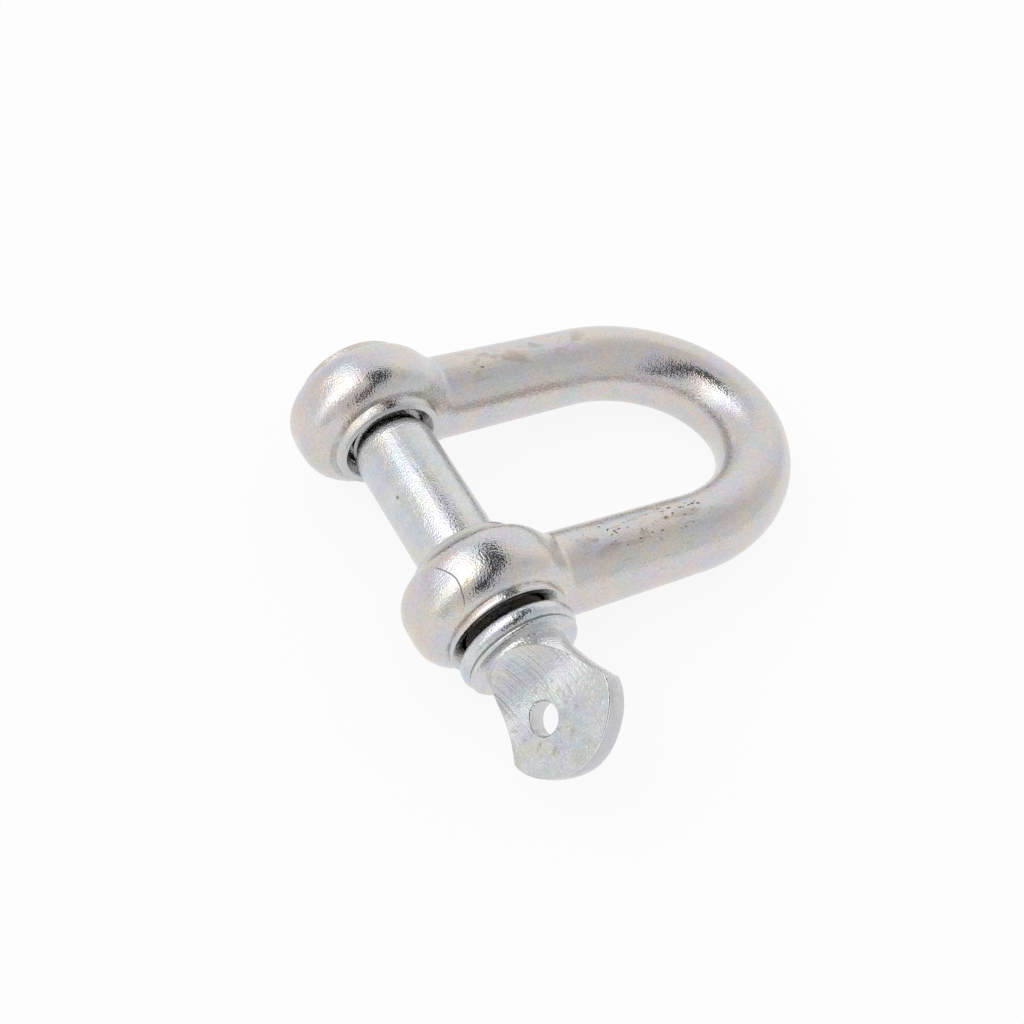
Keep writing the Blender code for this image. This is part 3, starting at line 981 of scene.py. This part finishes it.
pit_field = fade(tree, noise_at(tree, shifted(tree, place, 3), 140.0, 3.0), 0.48, 0.58)
pits = times(tree, fade(tree, pit_depth, 0.0, 0.2), leg_top, pit_field)
hairs = noise_at(tree, shifted(tree, stretched(tree, place, (0.1, 1.0, 1.0)), 6), 1900.0, 3.0)
hairs = fade(tree, hairs, 0.6, 0.75, 0.0, 0.3)
hairs = times(tree, hairs, on_leg, fade(tree, height, 0.0, 5.0 * MM))
stains = noise_at(tree, shifted(tree, stretched(tree, place, (0.5, 1.0, 1.0)), 4), 420.0, 3.0)
stains = times(tree, leg_top, fade(tree, stains, 0.5, 0.64, 0.0, 0.55))
color = blend_colors(tree, stains, color, RUST)
print("legs marked:", len(tree.nodes), "nodes")

# %% [markdown]
# #### The rings and the bores
# The faced rings were cut bright before plating, so their zinc is cooler and plainer. Dirt gathers
# in the crease at each ring's foot, in patches, and painted shade darkens the bores.

# %% Mark the faced rings and the bores
MACHINED = (0.56, 0.58, 0.585, 1.0)

machined = fade(tree, from_eye, EYE_HALF - 0.12 * MM, EYE_HALF - 0.02 * MM, 0.0, 0.7)
machined = times(tree, machined, fade(tree, from_axis, 12.0 * MM, 12.5 * MM, 1.0, 0.0))
color = blend_colors(tree, machined, color, MACHINED)
at_foot = window(tree, from_eye, 6.5 * MM, 7.5 * MM, 0.25 * MM)
at_ring = window(tree, from_axis, 10.8 * MM, 12.0 * MM, 0.25 * MM)
patchy = fade(tree, noise_at(tree, place, 400.0, 3.0), 0.3, 0.7, 0.1, 0.4)
not_beyond = fade(tree, across_dee, EYE_CENTRE, OUTER_FACE, 1.0, 0.1)
crease = times(tree, at_foot, at_ring, patchy, not_beyond)
# Painted shade in the bores, stronger in the plain eye than in the tapped one
near_eye = fade(tree, across_dee, -EYE_HALF, EYE_HALF, 0.7, 0.35)
bore_shade = times(tree, fade(tree, from_axis, 8.9 * MM, 9.7 * MM, 1.0, 0.0), near_eye)
print("rings and bores marked:", len(tree.nodes), "nodes")

# %% [markdown]
# #### The lap line
# Where the die folded a little metal over, a thin line wanders across the ball beside the head. It
# is the part of a sphere's surface near one point, with the sphere's radius made uneven by noise.

# %% Draw the lap line
LAP_CENTRE = (-18.32 * MM, -26.76 * MM, 7.38 * MM)
LAP_RADIUS = 9.09 * MM
LAP_MIDDLE = (-10.4 * MM, -25.6 * MM, 11.0 * MM)
LAP_REACH = 5.0 * MM

wander = calculate(tree, "SUBTRACT", noise_at(tree, place, 220.0, 2.0), 0.5)
wander = times(tree, wander, 1.1 * MM)
to_lap = calculate(tree, "ADD", distance(tree, axes, LAP_CENTRE), wander)
lap_line = fade(tree, off(tree, to_lap, LAP_RADIUS), 0.03 * MM, 0.14 * MM, 1.0, 0.0)
lap_part = fade(tree, distance(tree, axes, LAP_MIDDLE), LAP_REACH - MM, LAP_REACH, 1.0, 0.0)
lap = times(tree, lap_line, lap_part)
print("lap line", LAP_RADIUS / MM, "mm from its centre")

# %% [markdown]
# #### All marks together
# Where marks meet, the strongest one counts, and the painted shade of the bores is one of them. They
# darken the colour and make the metal rougher. The relief is the slow waves that the hammer left, then
# the grain, then the pits and the lap line.

# %% Finish the forged plating
marks = combined(tree, "MAXIMUM", pits, hairs, crease, times(tree, lap, 0.85), bore_shade)
tree.links.new(blend_colors(tree, marks, color, DIRT_AND_SHADE), shader.inputs["Base Color"])
rough = fade(tree, noise_at(tree, shifted(tree, place, 5), 260.0, 3.0), 0.35, 0.65, 0.09, 0.16)
rough = calculate(tree, "MULTIPLY_ADD", marks, MARK_ROUGHNESS, rough)
tree.links.new(rough, shader.inputs["Roughness"])
normal = raised(tree, noise_at(tree, shifted(tree, place, 2), 160.0, 2.0), FORGED_WAVES)
normal = raised(tree, noise_at(tree, place, GRAIN, 0.6), GRAIN_RELIEF, normal)
normal = raised(tree, combined(tree, "MAXIMUM", lap, pits), PIT_RELIEF, normal)
tree.links.new(normal, shader.inputs["Normal"])
print("forged zinc:", len(tree.nodes), "nodes")

# %% [markdown]
# ### The turned and pressed pin
# The pin is a little bluer than the dee. Most of its marks follow its making, and some are painted
# highlights and shade. It has two sets of coordinates: one about the pin's axis for the shank, and one
# turned with the flats for the head.

# %% Tint the turned pin
TURNED_COLOR = (0.66, 0.672, 0.682, 1.0)

turned_zinc, tree, shader, place = zinc("turned_zinc_plate")
axes, (_, along_pin, _) = own_axes(tree, place, LEAN)
head_axes, (across_head, _, through_head) = own_axes(tree, place, LEAN - HEAD_TURN)
on_head = fade(tree, along_pin, FLAT_START, LIP_END, 1.0, 0.0)

tints = [(PALE_BLUE, 150.0, 0.85), (LILAC, 180.0, 0.75), (STRAW, 230.0, 0.55), (SEA_GREEN, 200.0, 0.45)]
color = tinted(tree, place, TURNED_COLOR, tints, 11)
color = flecked(tree, place, color, 3200.0, 0.18)
print("turned tints:", len(tints))

# %% [markdown]
# #### How deep a place lies
# How far a place lies below the head's flats tells the rim and the flanks from the face. It is 0 on
# the flats and the ramps, and is worked out from the same lengths as the shape.

# %% Work out the depth below the flats
FLAT_SLOPE = (TIP_HALF - WAIST) / (FLAT_START - HEAD_TIP)

below_start = calculate(tree, "MAXIMUM", calculate(tree, "SUBTRACT", FLAT_START, along_pin), 0.0)
up_ramp = calculate(tree, "MAXIMUM", calculate(tree, "SUBTRACT", along_pin, FLAT_START), 0.0)
squares = calculate(tree, "SUBTRACT", SCOOP_RADIUS ** 2, times(tree, up_ramp, up_ramp))
below_centre = calculate(tree, "SQRT", calculate(tree, "MAXIMUM", squares, 0.0))
scoop = calculate(tree, "SUBTRACT", SCOOP_RADIUS, below_centre)
half = combined(tree, "ADD", times(tree, below_start, FLAT_SLOPE), WAIST, scoop)
depth = calculate(tree, "SUBTRACT", half, calculate(tree, "ABSOLUTE", through_head))
print("flats open by", round(FLAT_SLOPE, 4), "mm in each mm")

# %% [markdown]
# #### The head's edges and rim
# Painted highlights lighten the flanks, the throat and the shank's shoulder, and painted shade darkens
# the cut rim, more towards the tip. Fingers and spanners have worn the edges bright in places, with a
# painted highlight along them and a thin brown line beside them.

# %% Mark the head's edges and rim
# The first colour lightens painted highlights and worn edges; the second is painted shade on the rim
HIGHLIGHT_AND_WEAR = (0.88, 0.87, 0.9, 1.0)
RIM_SHADE = (0.5, 0.49, 0.535, 1.0)

beside = fade(tree, depth, 0.2 * MM, 0.4 * MM)
flank_highlight = window(tree, along_pin, EARS, LIP_END - 0.15 * MM, 0.1 * MM)
rim_shading = fade(tree, along_pin, EARS - 8.0 * MM, EARS, 0.6, 0.15)
past_ears = fade(tree, along_pin, EARS - 0.1 * MM, EARS + 0.1 * MM, 1.0, 0.0)
rim_shading = times(tree, rim_shading, past_ears)
# Painted highlight on the flanks and the throat
color = blend_colors(tree, times(tree, beside, flank_highlight, 0.75), color, HIGHLIGHT_AND_WEAR)
# Painted highlight on the shank's shoulder
shoulder_highlight = window(tree, along_pin, SHANK_END, SHANK_END + SHOULDER_LENGTH, 0.2 * MM)
color = blend_colors(tree, shoulder_highlight, color, HIGHLIGHT_AND_WEAR)
# Painted shade on the rim between the ears and the tip, strongest at the tip
color = blend_colors(tree, times(tree, beside, rim_shading), color, RIM_SHADE)
below_lip = fade(tree, along_pin, LIP_END - 0.4 * MM, LIP_END - 0.1 * MM, 1.0, 0.0)
# Worn edges, with a painted highlight along them
worn_and_highlit = times(tree, window(tree, depth, 0.1 * MM, 0.34 * MM, 0.04 * MM), below_lip)
patchy = fade(tree, noise_at(tree, place, 500.0, 2.0), 0.35, 0.6, 0.3, 1.0)
color = blend_colors(tree, times(tree, worn_and_highlit, patchy), color, HIGHLIGHT_AND_WEAR)
brown_line = window(tree, depth, 0.015 * MM, 0.08 * MM, 0.01 * MM)
brown_line = times(tree, brown_line, below_lip, patchy, 0.6)
color = blend_colors(tree, brown_line, color, RUST)
print("edges and rim marked:", len(tree.nodes), "nodes")

# %% [markdown]
# #### Lines and scuffs
# Fine lines run along the shank, and down the ramp where the metal slid over the press tool: noise,
# drawn out along one axis. Handling has scuffed the flat round the hole and mottled the head.

# %% Mark the lines and the scuffs
shank_lines = noise_at(tree, stretched(tree, head_axes, (1.0, 0.04, 1.0)), 2400.0, 1.0)
ramp_lines = noise_at(tree, stretched(tree, head_axes, (1.0, 0.02, 0.0)), 4200.0, 2.0)
on_ramp = window(tree, along_pin, FLAT_START - 1.5 * MM, FLARE_START - 0.5 * MM, 1.0 * MM)
on_ramp = times(tree, on_ramp, fade(tree, depth, 0.1 * MM, 0.3 * MM, 1.0, 0.0))
ramp_marks = times(tree, fade(tree, ramp_lines, 0.5, 0.7, 0.0, 0.4), on_ramp)
across_hole = calculate(tree, "ADD", across_head, HOLE_OFFSET)
along_hole = calculate(tree, "SUBTRACT", along_pin, HEAD_TIP + HOLE_BEFORE_TIP)
from_hole = from_line(tree, across_hole, along_hole)
# The wall of the mousing hole is darker
in_hole = fade(tree, from_hole, HOLE_RADIUS + 0.02 * MM, HOLE_RADIUS + 0.1 * MM, 0.3, 0.0)
scuffs = fade(tree, noise_at(tree, shifted(tree, place, 9), 750.0, 4.0), 0.54, 0.7, 0.0, 0.4)
round_hole = window(tree, from_hole, HOLE_RADIUS + 0.3 * MM, 7.5 * MM, 1.0 * MM)
mottle = fade(tree, noise_at(tree, shifted(tree, place, 10), 380.0, 4.0), 0.45, 0.75, 0.0, 0.12)
scuffs = calculate(tree, "MAXIMUM", times(tree, scuffs, round_hole), mottle)
scuffs = times(tree, scuffs, on_head)
print("lines and scuffs marked:", len(tree.nodes), "nodes")

# %% [markdown]
# #### Painted shade, the groove and a speck
# The groove behind the bead is darker, and there is one speck on the shank. Painted shade lies where
# the eyes hide the pin: on the shank inside the plain eye, fading inwards, and in the thread.

# %% Mark the painted shade, the groove and the speck
SPECK_AT = (-7.11 * MM, -0.24 * MM, 3.78 * MM)

# The groove behind the bead is darker
in_groove = fade(tree, off(tree, along_pin, BEAD_END - 0.1 * MM), 0.15 * MM, 0.4 * MM, 0.3, 0.0)
speck = fade(tree, distance(tree, axes, SPECK_AT), 0.2 * MM, 0.5 * MM, 0.8, 0.0)
inner_end = EYE_HALF - EYE_CENTRE
# Painted shade on the shank, in the gap before the collar and inside the plain eye
eye_shade = fade(tree, along_pin, COLLAR_FACE + 3.0 * MM, inner_end - 2.0 * MM, 0.55, 0.0)
past_collar = fade(tree, along_pin, COLLAR_FACE - 0.3 * MM, COLLAR_FACE + 0.1 * MM)
eye_shade = times(tree, eye_shade, past_collar)
# Painted shade on the relief groove and the thread, fainter towards the pin's end
thread_shade = fade(tree, along_pin, SHANK_END + SHOULDER_LENGTH, THREAD_START - 0.5 * MM, 0.0, 0.55)
towards_end = fade(tree, along_pin, PIN_END - 6.0 * MM, PIN_END, 1.0, 0.2)
thread_shade = times(tree, thread_shade, towards_end)
print("dirt and grime marked:", len(tree.nodes), "nodes")

# %% [markdown]
# #### The pin's marks together
# As on the dee, the strongest mark counts, but only the scuffs make the metal rougher. The head has
# slow waves from the press, and the grain and the drawn lines lie on top of them.

# %% Finish the turned plating
marks = combined(tree, "MAXIMUM", ramp_marks, in_hole, scuffs, in_groove, speck, eye_shade, thread_shade)
tree.links.new(blend_colors(tree, marks, color, DIRT_AND_SHADE), shader.inputs["Base Color"])
rough = fade(tree, noise_at(tree, shifted(tree, place, 5), 260.0, 3.0), 0.35, 0.65, 0.09, 0.15)
rough = calculate(tree, "MULTIPLY_ADD", scuffs, MARK_ROUGHNESS, rough)
tree.links.new(rough, shader.inputs["Roughness"])
waves = times(tree, noise_at(tree, shifted(tree, place, 2), 300.0, 2.0), on_head)
normal = raised(tree, waves, HEAD_WAVES)
normal = raised(tree, noise_at(tree, place, GRAIN, 0.6), GRAIN_RELIEF, normal)
normal = raised(tree, shank_lines, SHANK_RELIEF, normal)
normal = raised(tree, times(tree, ramp_lines, on_ramp), RAMP_RELIEF, normal)
tree.links.new(normal, shader.inputs["Normal"])
print("turned zinc:", len(tree.nodes), "nodes")

# %% [markdown]
# ## Putting the pieces in place
# Both pieces were made level, about the pin's axis. Here each mesh is leaned and moved to where the
# shackle lies, shaded smooth up to a sharp angle, and given its finish. Then each is handed to its
# body, so that it follows the pin's slide, and takes the place of the CAD solid that it dresses.

# %% Lean, shade and attach both pieces
SHARP = math.radians(28)
for piece, body, node, slot, finish in (
    (dee, "dee", "dee_body", "forged_zinc", forged_zinc),
    (pin, "pin", "screw_pin", "turned_zinc", turned_zinc),
):
    piece.data.transform(AS_IT_LIES)
    piece.data.materials.clear()
    piece.data.materials.append(finish)
    piece.data.shade_smooth()
    piece.data.set_sharp_from_angle(angle=SHARP)
    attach(piece, body)
    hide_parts(node)
    piece.data.calc_loop_triangles()
    print(piece.name, len(piece.data.loop_triangles), "triangles")
